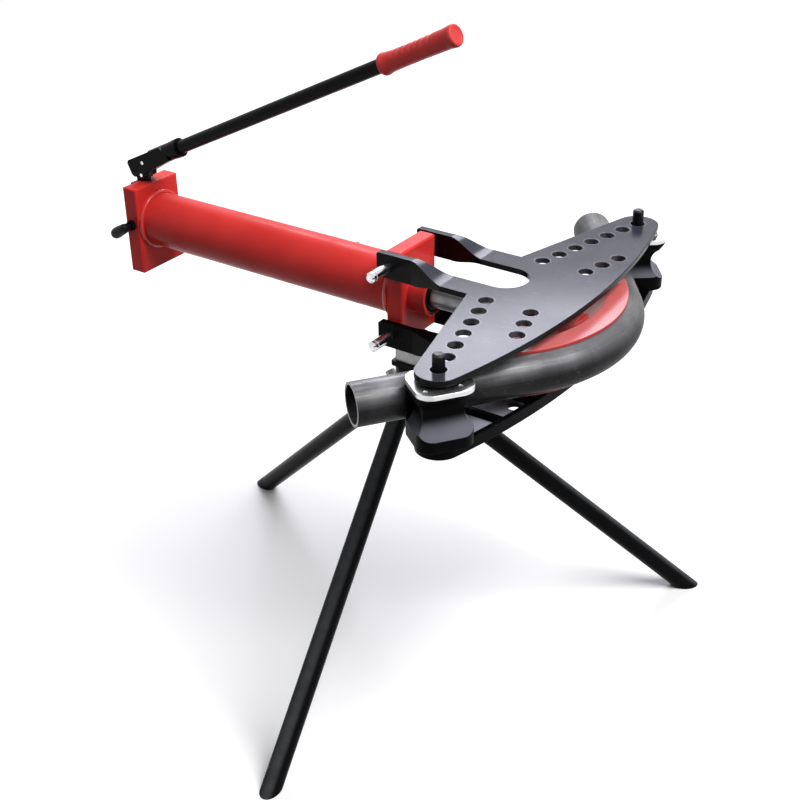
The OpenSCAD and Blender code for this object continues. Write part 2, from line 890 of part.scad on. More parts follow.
// Side view of a wing: a plate in front and deep arms behind
module wing_side(t) {
    top = wing_rise;
    polygon(concat(
        [[arm_end, top - arm_deep + block_edge], [arm_end, top + arm_tall - block_edge],
         [arm_end + block_edge, top + arm_tall]],
        [for (k = [0 : ramp_steps])
            [ramp_start + (ramp_end - ramp_start) * k / ramp_steps,
             sweep_to(top + arm_tall, top, k / ramp_steps)]],
        [[wing_front + cut, top], [wing_front + cut, top - t]],
        [for (k = [ramp_steps : -1 : 0])
            [ramp_start + (ramp_end - ramp_start) * k / ramp_steps,
             sweep_to(top - arm_deep, top - t, k / ramp_steps)]],
        [[arm_end + block_edge, top - arm_deep]]
    ));
}

// A whole wing with its holes, facing up, before any pockets
module wing_blank(t) {
    difference() {
        intersection() {
            wing_prism();
            slab(pin_y + 2 * tip_r) wing_side(t);
        }
        for (side = [-1, 1]) {
            for (k = [0 : long_row]) hole(row_at(row_x, k, side));
            for (k = [0 : short_row - 1]) hole(row_at(short_x, k, side));
        }
        translate([0, 0, pin_rise])
            cross_bar(-arm_out - cut, arm_out + cut, wing_pin_d + 2 * run_gap);
    }
}

module hole(place) {
    translate(place) translate([0, 0, wing_rise - rim_t - cut]) cylinder(d = hole_d, h = rim_t + 2 * cut);
}

module upper_wing() {
    color(wing_grey) at_ram() wing_blank(plate_t);
}

// The pockets leave a rim, a boss at each tip and ribs across each side
module wing_pockets() {
    back = rear_root(0, 1)[0];
    difference() {
        linear_extrude(height = rim_t) difference() {
            wing_moon(rim_w);
            translate([back, -slot_w / 2 - rim_w]) square([slot_end + rim_w - back, slot_w + 2 * rim_w]);
            for (side = [-1, 1]) {
                translate(pin_at(side)) circle(d = hole_boss_d);
                for (share = rib_shares)
                    translate([back - tip_r, side * (row_y + (pin_y - row_y) * share) - rib_w / 2])
                        square([wing_front - back + tip_r, rib_w]);
            }
            translate([slot_mid, -rib_w / 2]) square([wing_front - slot_mid, rib_w]);
        }
    }
}

// The lower wing is the same casting turned over, pocketed on its inner face
module lower_wing() {
    color(paint_black) at_ram() mirror([0, 0, 1]) difference() {
        wing_blank(rim_t);
        translate([0, 0, wing_rise - rim_t - web_t]) wing_pockets();
    }
}

module wing_pin() {
    near = -arm_out - pin_out + pin_nose;
    difference() {
        union() {
            cross_bar(near, arm_out, wing_pin_d);
            translate([0, near, 0]) rotate([90, 0, 0])
                cylinder(d1 = wing_pin_d, d2 = wing_pin_d - 2 * pin_nose, h = pin_nose);
            translate([0, arm_out, 0]) rotate([-90, 0, 0])
                cylinder(d1 = wing_pin_d, d2 = wing_pin_d - pin_nose, h = pin_nose);
        }
        translate([0, near + pin_groove_at, 0]) rotate([-90, 0, 0]) difference() {
            cylinder(d = wing_pin_d + cut, h = pin_groove_w);
            translate([0, 0, -cut]) cylinder(d = wing_pin_d - pin_nose, h = pin_groove_w + 2 * cut);
        }
    }
}

module upper_wing_pin() {
    color(bright_steel) at_ram() translate([0, 0, pin_rise]) wing_pin();
}

module lower_wing_pin() {
    color(bright_steel) at_ram() translate([0, 0, -pin_rise]) wing_pin();
}

// Supports that swivel at the wing tips

// Places a near support at its pin, its local +X facing away from the pipe
module at_support(side) {
    at_ram() mirror([0, side > 0 ? 1 : 0, 0])
        translate([pin_x, -pin_y, 0]) rotate([0, 0, -bend_half]) children();
}

// Waisted all round its outer side, with the pipe's groove on its inner side
module support_body() {
    difference() {
        translate([0, 0, gap_low + clear]) linear_extrude(height = cap_z - gap_low - clear)
            round_rect(-body_back, body_front, body_half, body_corner);
        translate([-pin_reach, 0, 0]) cross_bar(-body_half - cut, body_half + cut, 2 * groove_r);
        translate([waist_front + waist_r, 0, waist_z])
            cross_bar(-body_half - cut, body_half + cut, 2 * waist_r);
        for (side = [-1, 1])
            translate([0, side * (waist_half + waist_r), waist_z])
                bar(-waist_back, body_front + cut, 2 * waist_r);
        translate([0, 0, gap_low]) cylinder(d = shank_d + 2 * run_gap, h = cap_z - gap_low + cut);
        at_cap_screws() cylinder(d = cap_screw_d, h = cap_screw_deep + cap_t + cut);
    }
}

// Places of the two screws that hold a cap, from the foot of their holes
module at_cap_screws() {
    for (share = cap_screw_shares)
        translate([cap_screw_ahead, share * cap_half, cap_z - cap_screw_deep]) children();
}

module support_cap() {
    difference() {
        translate([0, 0, cap_z]) linear_extrude(height = cap_t)
            round_rect(-cap_back, cap_front, cap_half, cap_corner);
        translate([0, 0, cap_z - cut]) cylinder(d = shank_d + 2 * run_gap, h = cap_t + 2 * cut);
        at_cap_screws() cylinder(d = cap_screw_d, h = cap_screw_deep + cap_t + cut);
    }
}

module cap_screws() {
    at_cap_screws() difference() {
        cylinder(d = cap_screw_d - 2 * run_gap, h = cap_screw_deep + cap_t - cap_screw_sunk);
        translate([0, 0, cap_screw_deep]) cylinder(d = cap_screw_d / 2, h = cap_t, $fn = 6);
    }
}

module support_pin() {
    shank_top = cap_z + cap_t + cap_gap / 2;
    stub_top = wing_rise + stub_rise;
    translate([0, 0, -wing_rise]) cylinder(d = shank_d, h = wing_rise + shank_top);
    translate([0, 0, shank_top]) cylinder(d = stub_d, h = stub_top - shank_top - stub_nose);
    translate([0, 0, stub_top - stub_nose]) cylinder(d1 = stub_d, d2 = stub_d - 2 * stub_nose, h = stub_nose);
}

module near_support() {
    color(paint_black) at_support(-1) support_body();
}

module near_support_cap() {
    color(bright_steel) at_support(-1) support_cap();
}

module near_support_pin() {
    color(paint_black) at_support(-1) support_pin();
}

module near_cap_screws() {
    color(dull_steel) at_support(-1) cap_screws();
}

module far_support() {
    color(paint_black) at_support(1) support_body();
}

module far_support_cap() {
    color(bright_steel) at_support(1) support_cap();
}

module far_support_pin() {
    color(paint_black) at_support(1) support_pin();
}

module far_cap_screws() {
    color(dull_steel) at_support(1) cap_screws();
}

// Tripod

module tripod_post() {
    color(dull_steel) translate([0, 0, head_plate_top]) linear_extrude(height = post_l)
        round_rect(-post_w / 2, post_w / 2, post_y / 2, post_edge);
}

// Places a leg's own frame at the apex, with +X running down the leg
module along_leg(bearing) {
    translate([0, 0, leg_apex]) rotate([0, 0, bearing]) rotate([0, leg_slope, 0]) children();
}

module tripod_head() {
    plate_low = head_plate_top - head_plate_t;
    color(paint_black) difference() {
        union() {
            translate([0, 0, plate_low]) linear_extrude(height = head_plate_t)
                round_rect(-head_plate_w / 2, head_plate_w / 2, head_plate_w / 2, post_edge);
            translate([0, 0, leg_apex - hub_drop]) cylinder(r = hub_r, h = plate_low - leg_apex + hub_drop);
            for (bearing = leg_bearings)
                along_leg(bearing) bar(leg_in - sleeve_floor, leg_in + sleeve_l, leg_d + 2 * sleeve_wall);
        }
        for (bearing = leg_bearings) along_leg(bearing) {
            bar(leg_in, leg_in + sleeve_l + cut, leg_d + 2 * run_gap);
            translate([leg_in + sleeve_l / 2, 0, 0]) cylinder(d = leg_screw_d, h = leg_d);
        }
    }
}

module leg_screws() {
    reach = leg_d / 2 + sleeve_wall;
    color(dull_steel) for (bearing = leg_bearings)
        along_leg(bearing) translate([leg_in + sleeve_l / 2, 0, 0]) {
            translate([0, 0, leg_d / 2 + clear])
                cylinder(d = leg_screw_d - 2 * run_gap, h = sleeve_wall + clear);
            translate([0, 0, reach + clear])
                cylinder(d = leg_screw_head, h = leg_screw_out - sleeve_wall, $fn = 6);
        }
}

module leg(bearing) {
    color(paint_black) along_leg(bearing) ring(leg_in, leg_end, leg_d, leg_d - 2 * leg_wall);
}

// A rubber plug in the end of a leg, flush with the tube and cut level where it stands
module foot(bearing) {
    stem = leg_d - 2 * leg_wall - 2 * run_gap;
    color(rubber) difference() {
        along_leg(bearing) {
            bar(leg_end, foot_at + leg_d, leg_d);
            bar(leg_end - foot_stem + foot_lead, leg_end + foot_rim / 2, stem);
            translate([leg_end - foot_stem, 0, 0]) rotate([0, 90, 0])
                cylinder(d1 = stem - 2 * foot_lead, d2 = stem, h = foot_lead);
        }
        translate([0, 0, -foot_circle]) cylinder(r = 2 * foot_circle, h = foot_circle);
    }
}

module near_leg() { leg(leg_bearings[0]); }
module far_leg() { leg(leg_bearings[1]); }
module rear_leg() { leg(leg_bearings[2]); }
module near_foot() { foot(leg_bearings[0]); }
module far_foot() { foot(leg_bearings[1]); }
module rear_foot() { foot(leg_bearings[2]); }

front_block();
reservoir_tube();
pressure_cylinder();
gland_bush();
wiper_ring();
filler_plug();
pump_block();
plunger_gland();
fulcrum_bracket();
bracket_screws();
fulcrum_pin();
valve_plugs();
release_gland();
release_spindle();
release_knob();
lever_head();
lever_tube();
lever_grip();
fork_pin();
plunger_pin();
pump_plunger();
plunger_seal();
ram();
piston();
piston_seal();
piston_bolt();
return_spring();
bending_former();
bent_pipe();
upper_wing();
upper_wing_pin();
lower_wing();
lower_wing_pin();
near_support();
near_support_cap();
near_support_pin();
near_cap_screws();
far_support();
far_support_cap();
far_support_pin();
far_cap_screws();
tripod_post();
tripod_head();
leg_screws();
near_leg();
far_leg();
rear_leg();
near_foot();
far_foot();
rear_foot();
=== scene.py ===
# %% [markdown]
# # A hydraulic pipe bender, dressed in Blender
# The bender is a shop tool: a hand pump pushes a ram, the ram pushes a grooved former, and the
# former bends a pipe against two supports that sit between a pair of drilled wings. Its solids come
# ready from CAD as a fixed frame. This lesson gives them rounded edges, moulded pieces and finishes,
# because a solid model has neither the soft edges nor the paint of the real machine.

# %% Load the frame
import json
import math
import bpy
from mathutils import Matrix, Vector

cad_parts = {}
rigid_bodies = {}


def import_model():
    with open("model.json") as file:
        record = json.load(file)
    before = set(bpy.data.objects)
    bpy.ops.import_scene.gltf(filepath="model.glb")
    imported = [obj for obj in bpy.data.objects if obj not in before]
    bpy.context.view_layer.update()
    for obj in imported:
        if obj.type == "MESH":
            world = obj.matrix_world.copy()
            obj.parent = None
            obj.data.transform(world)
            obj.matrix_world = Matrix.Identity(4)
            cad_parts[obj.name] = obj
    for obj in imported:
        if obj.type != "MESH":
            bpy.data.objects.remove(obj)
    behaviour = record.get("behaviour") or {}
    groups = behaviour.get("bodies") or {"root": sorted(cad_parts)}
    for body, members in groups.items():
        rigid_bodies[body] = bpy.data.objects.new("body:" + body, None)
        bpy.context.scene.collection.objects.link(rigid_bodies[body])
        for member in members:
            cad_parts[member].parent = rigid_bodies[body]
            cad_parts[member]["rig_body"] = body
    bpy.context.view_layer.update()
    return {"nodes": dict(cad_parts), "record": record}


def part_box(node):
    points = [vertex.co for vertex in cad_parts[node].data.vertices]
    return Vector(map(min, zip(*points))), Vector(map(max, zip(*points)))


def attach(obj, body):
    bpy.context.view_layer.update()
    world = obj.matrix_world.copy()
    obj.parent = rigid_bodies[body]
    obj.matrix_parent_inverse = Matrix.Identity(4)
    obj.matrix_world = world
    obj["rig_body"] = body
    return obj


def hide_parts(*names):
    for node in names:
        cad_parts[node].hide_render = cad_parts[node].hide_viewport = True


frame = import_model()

# %% [markdown]
# ## The camera
# A product picture is taken from a little above, with a fairly long lens so that the machine keeps
# its proportions. The camera could be aimed with a Track To constraint, but its roll would be lost.
# Here three unit vectors say where its right, its top and its back point, and they become the columns
# of its matrix, which is exactly what Blender keeps for any object.

# %% Camera
eye = Vector((1.0509, -1.5311, 1.4727))
azimuth, elevation, roll = (math.radians(a) for a in (35.07, 29.86, -1.0))
back = Vector((math.sin(azimuth) * math.cos(elevation), -math.cos(azimuth) * math.cos(elevation),
               math.sin(elevation)))
level = Vector((math.cos(azimuth), math.sin(azimuth), 0))
rise = back.cross(level)
right = level * math.cos(roll) + rise * math.sin(roll)
top = rise * math.cos(roll) - level * math.sin(roll)
turn = Matrix((right, top, back)).transposed().to_4x4()
lens = bpy.data.cameras.new("camera")
lens.sensor_width = 36
lens.lens = 60.82
camera = bpy.data.objects.new("camera", lens)
camera.matrix_world = Matrix.Translation(eye) @ turn
bpy.context.scene.collection.objects.link(camera)
bpy.context.scene.camera = camera
bpy.context.scene.view_settings.view_transform = "Standard"
print("camera at", tuple(eye), "with a", round(lens.lens, 1), "mm lens")

# %% [markdown]
# ## Maths on sockets
# A finish is a small program: noise makes a mask, and the mask mixes colours or bends the surface.
# Drawing each Math node by hand would hide that program in wires. So one class wraps a socket, and
# a sum or a product of two sockets adds the Math node by itself. One method makes every other node.

# %% A socket that can be added and multiplied
class Wire:
    """One output of a material's nodes. Sums and products of wires add Math nodes."""

    def __init__(self, tree, socket):
        self.tree, self.socket = tree, socket

    def node(self, kind, settings=None, sockets=None, out=0):
        """A node of that type with its settings, then its sockets, given as values or as wires."""
        made = self.tree.nodes.new("ShaderNode" + kind)
        for name, value in (settings or {}).items():
            setattr(made, name, value)
        for name, value in (sockets or {}).items():
            if isinstance(value, Wire):
                self.tree.links.new(value.socket, made.inputs[name])
            else:
                made.inputs[name].default_value = value
        return Wire(self.tree, made.outputs[out])

    def maths(self, operation, first, second=0.0):
        return self.node("Math", {"operation": operation}, {0: first, 1: second})

    def __add__(self, other):
        return self.maths("ADD", self, other)

    def __sub__(self, other):
        return self.maths("SUBTRACT", self, other)

    def __rsub__(self, other):
        return self.maths("SUBTRACT", other, self)

    def __mul__(self, other):
        return self.maths("MULTIPLY", self, other)

    def __truediv__(self, other):
        return self.maths("DIVIDE", self, other)

    def __pow__(self, other):
        return self.maths("POWER", self, other)

    def __abs__(self):
        return self.maths("ABSOLUTE", self)

    __radd__, __rmul__ = __add__, __mul__

    def most(self, other):
        return self.maths("MAXIMUM", self, other)

    def least(self, other):
        return self.maths("MINIMUM", self, other)

    def fade(self, low, high):
        """0 below low, 1 above high, and smooth between. low may be the larger of the two."""
        return self.node("MapRange", {"interpolation_type": "SMOOTHSTEP"},
                         {"Value": self, "From Min": low, "From Max": high})

    def axis(self, letter):
        return self.node("SeparateXYZ", {}, {0: self}, letter)

    def mottle(self, scale, detail, stretch=(1, 1, 1)):
        """Noise from 0 to 1 at so many lumps a metre, drawn out along an axis by a small stretch."""
        spot = self.node("Mapping", {}, {"Vector": self, "Scale": stretch})
        return self.node("TexNoise", {}, {"Vector": spot, "Scale": scale, "Detail": detail}, "Fac")

    def tint(self, off, on):
        """A colour that goes from off to on as this wire goes from 0 to 1."""
        pick = [c if isinstance(c, Wire) else (*c, 1) for c in (off, on)]
        return self.node("Mix", {"data_type": "RGBA"}, {0: self, 6: pick[0], 7: pick[1]}, 2)


print("operators of a wire:", [n for n in vars(Wire) if n.startswith("__") and n not in object.__dict__])

# %% [markdown]
# ## A finish from start to end
# Every finish begins with Object coordinates, which are metres on this object and move with the piece,
# and ends in one Principled shader. A few short functions hold that, so each finish below is only what
# makes it different. Values that are the same all over go straight on the shader's sockets.

# %% Begin and end a finish
def begin(name):
    """A new material and the wire of its Object coordinates."""
    made = bpy.data.materials.new(name)
    made.use_nodes = True
    made.node_tree.nodes.clear()
    texture = made.node_tree.nodes.new("ShaderNodeTexCoord")
    return made, Wire(made.node_tree, texture.outputs["Object"])


def facing(place):
    """Where the surface looks, on the piece itself, so that a finish stays put when the piece turns."""
    return Wire(place.tree, place.socket.node.outputs["Normal"])


def bump(height, depth, strength):
    """A normal from a height that goes from 0 to 1 over that depth in metres."""
    return height.node("Bump", {}, {"Height": height, "Distance": depth, "Strength": strength})


def edges(place, radius):
    """A mask that is 1 along edges and corners, where paint rubs thin."""
    soft = place.node("Bevel", {"samples": 4}, {"Radius": radius})
    flat = place.node("NewGeometry", {}, {}, "Normal")
    near = place.node("VectorMath", {"operation": "DOT_PRODUCT"}, {0: soft, 1: flat}, "Value")
    return (1 - near).fade(0.02, 0.18)


def end(place, **sockets):
    """The Principled shader, with its sockets named in plain small letters."""
    plain = {"colour": "Base Color", "shine": "Specular IOR Level"}
    named = {plain.get(name, name.replace("_", " ").title()): value for name, value in sockets.items()}
    shader = place.node("BsdfPrincipled", {}, named)
    out = place.tree.nodes.new("ShaderNodeOutputMaterial")
    place.tree.links.new(shader.socket, out.inputs["Surface"])


print("a finish runs from begin() to end()")

# %% [markdown]
# ## Stage and light
# The machine stands on a plain pale floor. Real studios use a paper sweep and large soft lamps, so the
# lamp here is a wide sun from the right and a big panel behind, whose reflection lies on the flat wings.
# Cameras and mirrors see the floor white, while it throws back little light, as dark walls round a
# set would, so the undersides stay deep. The surroundings follow the same rule.

# %% Floor
def none_selected():
    """Back in object mode with nothing selected, so that the next piece starts clean."""
    if bpy.context.mode != "OBJECT":
        bpy.ops.object.mode_set(mode="OBJECT")
    bpy.ops.object.select_all(action="DESELECT")


def seen(camera_ray):
    """1 where a camera, a mirror or glass looks, from the Is Camera Ray wire of a Light Path node."""
    rays = camera_ray.socket.node.outputs
    mirrored = Wire(camera_ray.tree, rays["Is Glossy Ray"])
    through = Wire(camera_ray.tree, rays["Is Transmission Ray"])
    return camera_ray.most(mirrored).most(through)


floor_size = 60
none_selected()
bpy.ops.mesh.primitive_plane_add(size=floor_size, location=(0, 0, 0))
floor = bpy.context.object
floor.name = "floor"
paper, place = begin("pale paper")
thrown_back, white = (0.12, 0.12, 0.12), (0.97, 0.97, 0.97)
camera_ray = place.node("LightPath", {}, {}, "Is Camera Ray")
end(place, colour=seen(camera_ray).tint(thrown_back, white), roughness=1.0, shine=0.0)
floor.data.materials.append(paper)
print("floor:", tuple(round(v, 1) for v in floor.dimensions))

# %% Lamps and surroundings
def lamp(kind, name, at, towards, **settings):
    """A lamp that points from one place to another."""
    data = bpy.data.lights.new(name, kind)
    for key, value in settings.items():
        setattr(data, key, value)
    made = bpy.data.objects.new(name, data)
    made.location = at
    made.rotation_euler = (Vector(towards) - Vector(at)).to_track_quat("-Z", "Y").to_euler()
    bpy.context.scene.collection.objects.link(made)


machine_middle, wings_middle = (0.0, 0.0, 0.55), (0.2, 0.0, 0.66)
lamp("SUN", "key", (1.1, 0.05, 2.2), machine_middle, energy=3.25, angle=math.radians(42))
lamp("AREA", "panel", (-1.45, 2.5, 2.63), wings_middle, energy=64, shape="RECTANGLE", size=2.0,
     size_y=0.9, color=(0.88, 0.89, 1.0))
world = bpy.data.worlds.new("surroundings")
bpy.context.scene.world = world
world.use_nodes = True
world.node_tree.nodes.clear()
light_path = world.node_tree.nodes.new("ShaderNodeLightPath")
camera_ray = Wire(world.node_tree, light_path.outputs["Is Camera Ray"])
fill = 0.16
strength = seen(camera_ray) * (1 - fill) + fill
sky = camera_ray.node("Background", {}, {"Color": (1, 1, 1, 1), "Strength": strength})
out = world.node_tree.nodes.new("ShaderNodeOutputWorld")
world.node_tree.links.new(sky.socket, out.inputs["Surface"])

# %% [markdown]
# ## Gloss paint
# The cylinder and its two blocks are sprayed with red gloss. Sprayed paint dries with a faint orange peel,
# it is thinner and duller on edges, and handling leaves hazy patches. A plain red would look like
# plastic, so the finish mixes two reds by a slow noise, lifts the roughness in patches, and adds the
# peel as a very shallow bump under a clear coat. The lever and its bracket have the same paint in black.
# Over the weld beads the red lies thicker and glossier.

# %% Gloss paint
def gloss_paint(name, deep, bright, dull, peel, haze, shine, clear):
    """Sprayed gloss: two tones, hazy patches, edges rubbed to a duller tone, and an orange peel."""
    made, place = begin(name)
    slow = place.mottle(9, 4)
    worn = edges(place, 0.0022) * place.mottle(160, 4).fade(0.45, 0.75)
    hazy = place.mottle(24, 6).fade(0.42, 0.74)
    fine = place.mottle(420, 2)
    scratch = place.mottle(90, 2, (1, 14, 3)).fade(0.70, 0.76) * place.mottle(14, 2).fade(0.5, 0.65)
    colour = worn.tint(slow.fade(0.3, 0.7).tint(deep, bright), dull)
    end(place, colour=colour, roughness=haze + hazy * 0.12 + worn * 0.2 + scratch * 0.12, shine=shine,
        coat_weight=clear - hazy * (0.6 * clear), coat_roughness=0.12, normal=bump(fine, peel, 0.55))
    return made


red_paint = gloss_paint("red gloss paint", deep=(0.70, 0.036, 0.032), bright=(0.81, 0.050, 0.044),
                        dull=(0.73, 0.080, 0.075), peel=0.00012, haze=0.36, shine=0.09, clear=0.06)
black_paint = gloss_paint("black gloss paint", deep=(0.0025, 0.0025, 0.003), bright=(0.005, 0.005, 0.006),
                          dull=(0.03, 0.03, 0.034), peel=0.00010, haze=0.24, shine=0.05, clear=0.02)
weld_red = gloss_paint("weld red paint", deep=(0.68, 0.037, 0.034), bright=(0.79, 0.052, 0.047),
                       dull=(0.72, 0.080, 0.075), peel=0.00015, haze=0.24, shine=0.32, clear=0.36)
print("painted:", red_paint.name, black_paint.name, weld_red.name, sep=", ")

# %% [markdown]
# ## The upper wing's satin paint
# The drilled plate is painted satin black that shines like lead when light grazes it. The grey on its faces
# that look up is a painted reflection of the sky. Pins are pushed in and out of the holes, so each hole
# wears a pale ring. The ring
# is drawn by arithmetic: the rows are straight and evenly spaced, so rounding the way along a row gives the
# nearest hole, and the distance to it needs no image.

# %% Distance to the nearest hole
pitch, sweep = 0.035, math.radians(15)
long_row_x, short_row_x, rows_y = 0.180, 0.251, 0.0796
long_row, short_row = 7, 3


def hole_distance(place, start_x, count):
    """Distance in metres from the nearest hole of a row, which runs out on both sides alike."""
    out, along = abs(place.axis("Y")) - rows_y, place.axis("X") - start_x
    run = along * math.sin(sweep) + out * math.cos(sweep)
    off = along * math.cos(sweep) - out * math.sin(sweep)
    step = run.maths("ROUND", run / pitch).most(0.0).least(float(count - 1))
    gap = run - step * pitch
    return (gap * gap + off * off) ** 0.5


print("holes on each side:", long_row, "and", short_row, "at a pitch of", pitch)

# %% Wing paint
ring_inside, ring_outside = 0.0108, 0.0145


def wing_paint():
    """Satin black paint with a painted reflection: grey on the flats, black on the rims, scuffed, with a
    worn ring at each hole.
    """
    made, place = begin("wing satin paint")
    long_holes = hole_distance(place, long_row_x, long_row)
    short_holes = hole_distance(place, short_row_x, short_row)
    ring = long_holes.least(short_holes).fade(ring_outside, ring_inside)
    rubbed = ring * (0.35 + place.mottle(120, 3) * 0.65)
    worn = edges(place, 0.0025) * place.mottle(140, 4).fade(0.4, 0.7)
    # Faces that look up get a grey painted reflection of the sky, scuffs included; the rims stay black.
    flat = facing(place).axis("Z").fade(0.55, 0.9)
    slow = place.mottle(11, 4).fade(0.3, 0.7)
    scuff = place.mottle(60, 3, (1, 9, 1)).fade(0.62, 0.72) * place.mottle(18, 2).fade(0.42, 0.6)
    painted_sheen_tone = slow.tint((0.034, 0.034, 0.048), (0.048, 0.048, 0.066))
    colour = flat.tint((0.004, 0.004, 0.005), painted_sheen_tone)
    colour = scuff.tint(colour, flat.tint((0.02, 0.02, 0.022), (0.088, 0.088, 0.108)))
    colour = (rubbed * 0.7).most(worn * 0.35).tint(colour, (0.16, 0.16, 0.18))
    end(place, colour=colour, roughness=0.15 + place.mottle(30, 5) * 0.07 + rubbed * 0.1,
        metallic=rubbed * 0.4, coat_weight=flat * (0.16 + slow * 0.06), coat_roughness=0.1,
        normal=bump(place.mottle(480, 2), 0.00008, 0.5), shine=0.07)
    return made


satin_paint = wing_paint()
print("satin paint with", len(satin_paint.node_tree.nodes), "nodes")

# %% [markdown]
# ## Turned steel
# Pins and the ram are turned on a lathe and polished, which leaves hair-fine rings round the axis. The
# rings are noise squeezed along the axis, so the same function serves pins that lie along Y and the ram
# along X. The pump's plunger and the release spindle are turned too, and take a dark tone; on the plunger
# it is painted shade under the lever's bracket.

# %% Turned steel
def turned_steel(name, axis, bright, rough, smear):
    """Turned bar: rings across its axis, fingermarks and a few nicks."""
    made, place = begin(name)
    squeeze = {"X": (1, 0.02, 0.02), "Y": (0.02, 1, 0.02), "Z": (0.02, 0.02, 1)}[axis]
    rings = place.mottle(2600, 2, squeeze)
    marks = place.mottle(45, 4).fade(0.42, 0.7)
    nick = place.mottle(230, 2).fade(0.72, 0.78)
    colour = (marks * 0.7 + nick * 0.3).tint(bright, smear)
    end(place, colour=colour, metallic=1.0, roughness=rough + rings * 0.08 + marks * 0.12,
        normal=bump(rings, 0.00002, 0.5))
    return made


pin_steel = turned_steel("polished pin steel", axis="Y", bright=(0.74, 0.74, 0.76), rough=0.13,
                         smear=(0.55, 0.55, 0.56))
ram_steel = turned_steel("ground ram steel", axis="X", bright=(0.20, 0.20, 0.205), rough=0.32,
                         smear=(0.12, 0.12, 0.125))
# The plunger's dark tone is painted shade under the lever's bracket.
shaded_plunger_steel = turned_steel("plunger steel", axis="Z", bright=(0.030, 0.030, 0.032), rough=0.28,
                             smear=(0.018, 0.018, 0.019))
print("turned:", pin_steel.name, ram_steel.name, shaded_plunger_steel.name, sep=", ")

# %% [markdown]
# ## Drawn pipe with mill scale
# The workpiece is plain steel pipe, still with its blue-grey mill scale. The scale is drawn into streaks
# along the pipe, and the streaks must turn with the bend. The bend is an arc with a straight leg on each
# side, so the shader works out how far a point lies across and along that path, and stretches its noise
# along it. One half keeps a heavier scale, the sawn ends are bright, and painted shade makes the underside
# dark and the bare patches darker in the bend than on the straight legs.

# %% Where the pipe runs
bend_radius, bend_half = 0.208, math.radians(36.5)
pipe_radius, ram_z = 0.03015, 0.602
support_back, seat_gap = 0.0192, 0.0003
last_hole = long_row - 1
pin_x = long_row_x + last_hole * pitch * math.sin(sweep)
pin_y = rows_y + last_hole * pitch * math.cos(sweep)
seat = support_back + pipe_radius + seat_gap
bend_mid = pin_x - (seat + bend_radius - pin_y * math.sin(bend_half)) / math.cos(bend_half)


def pipe_path(place):
    """How far a point lies across, above and along the pipe's middle line, and 1 on the straight legs."""
    x, y, z = place.axis("X") - bend_mid, abs(place.axis("Y")), place.axis("Z") - ram_z
    reach = (x * x + y * y) ** 0.5
    angle = place.maths("ARCTAN2", y, x)
    straight = angle.fade(bend_half - 0.002, bend_half + 0.002)
    leg = x * math.cos(bend_half) + y * math.sin(bend_half)
    run_leg = y * math.cos(bend_half) - x * math.sin(bend_half) + bend_radius * bend_half
    across = reach * (1 - straight) + leg * straight - bend_radius
    along = angle * bend_radius * (1 - straight) + run_leg * straight
    return across, z, along, straight


print("the bend turns round x =", round(bend_mid, 4))

# %% Pipe finish
def drawn_pipe():
    """Mill scale in streaks along the pipe, bare in patches, with bright sawn ends."""
    made, place = begin("pipe mill scale")
    across, above, along, straight = pipe_path(place)
    drawn = place.node("CombineXYZ", {}, {0: across, 1: above, 2: along * 0.05})
    streak = drawn.mottle(330, 4)
    grain = place.mottle(900, 3)
    patch = place.mottle(17, 6).fade(0.38, 0.66)
    spots = place.mottle(120, 5).fade(0.58, 0.72)
    heavy = place.axis("Y").fade(-0.06, 0.12)
    bare = (streak.fade(0.5, 0.72) * 0.5 + patch * 0.6).least(1.0) * (1 - heavy * 0.55)
    looks = facing(place)
    # Faces that look down are painted dark: painted shade on the pipe's underside.
    lit_from_above = looks.axis("Z").fade(0.08, 0.95)
    side = place.maths("SIGN", place.axis("Y"))
    outward = looks.axis("Y") * side * math.cos(bend_half) - looks.axis("X") * math.sin(bend_half)
    sawn = outward.fade(0.90, 0.97) * straight
    # Bare patches are painted darker in the bend than on the straight legs: painted shade under the wings.
    clean = straight.tint((0.250, 0.250, 0.266), (0.36, 0.36, 0.385))
    scaled = heavy.tint((0.150, 0.150, 0.161), (0.085, 0.085, 0.089))
    colour = bare.tint(lit_from_above.tint((0.014, 0.014, 0.015), scaled),
                       lit_from_above.tint((0.030, 0.030, 0.031), clean))
    colour = (spots * 0.4).tint(colour, (0.10, 0.09, 0.078))
    colour = sawn.tint(colour, (0.52, 0.52, 0.53))
    end(place, colour=colour, metallic=bare * 0.06 + sawn * 0.3, shine=0.06,
        coat_weight=(0.40 + bare * 0.2) * (0.2 + lit_from_above * 0.8), coat_roughness=0.24,
        roughness=0.42 - bare * 0.1 + grain * 0.14 + spots * 0.1,
        normal=bump(streak * 0.6 + grain * 0.25 + spots * 0.15, 0.00022, 0.6))
    return made


pipe_scale = drawn_pipe()
print("pipe finish of", len(pipe_scale.node_tree.nodes), "nodes")

# %% [markdown]
# ## The former's paint
# The former is a sand casting under red paint. Its faces that look up are painted pale pink as a painted
# sheen of light from above, the edges are rubbed, and the pipe has worn the groove to metal. The groove
# runs round the same middle as the bend, so the distance from the pipe's middle line, taken as a full ring,
# shows where the pipe presses.

# %% Former paint
groove_wall, groove_lip = 0.0305, 0.0312


